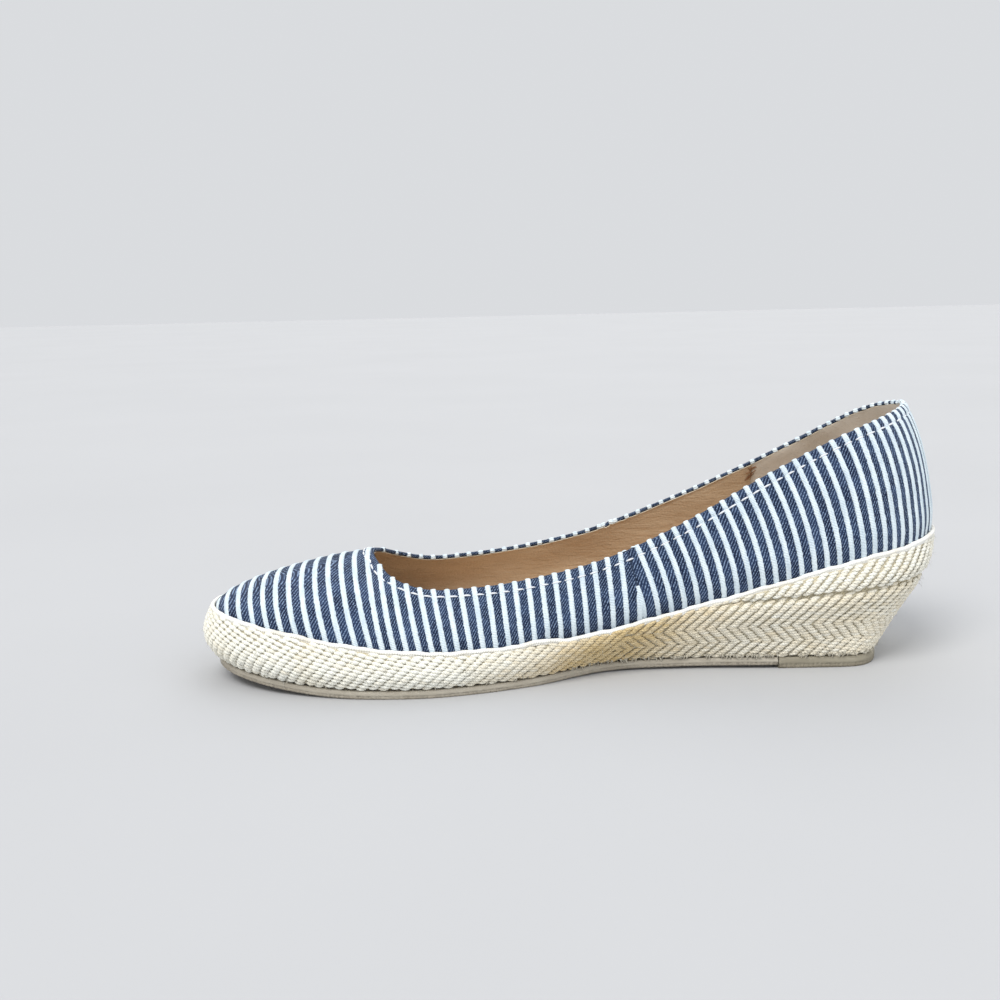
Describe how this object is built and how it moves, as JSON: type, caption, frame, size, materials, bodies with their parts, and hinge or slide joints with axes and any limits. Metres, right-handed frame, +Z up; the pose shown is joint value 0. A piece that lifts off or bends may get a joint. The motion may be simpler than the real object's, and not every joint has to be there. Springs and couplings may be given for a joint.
{
  "type": "wedge espadrille",
  "caption": "Slip-on pump with a low-cut striped denim upper on a jute-wrapped wedge platform and a thin rubber tread",
  "frame": {"origin": "on the floor, under the middle of the shoe's bounding box", "axes": "+Z up; the toe points along -X and the heel along +X; the medial (inner) side faces -Y and the lateral side +Y"},
  "size_m": [0.254, 0.0914, 0.0869],
  "materials": {
    "outsole_rubber": "matte taupe moulded rubber",
    "top_piece_rubber": "matte taupe rubber, a little darker",
    "jute": "braided and woven natural jute",
    "lining": "smooth tan lining",
    "heel_lining": "grey-beige napped heel lining",
    "denim": "navy twill denim",
    "stripe": "raised white stripe cords in the denim",
    "piping": "white cotton cord",
    "thread": "white stitching thread"
  },
  "bodies": {
    "root": {"outsole": "outsole_rubber", "heel_top_piece": "top_piece_rubber", "platform": "jute", "heel_wrap": "jute", "insole": "lining", "upper": "denim", "piping": "piping"}
  },
  "joints": []
}
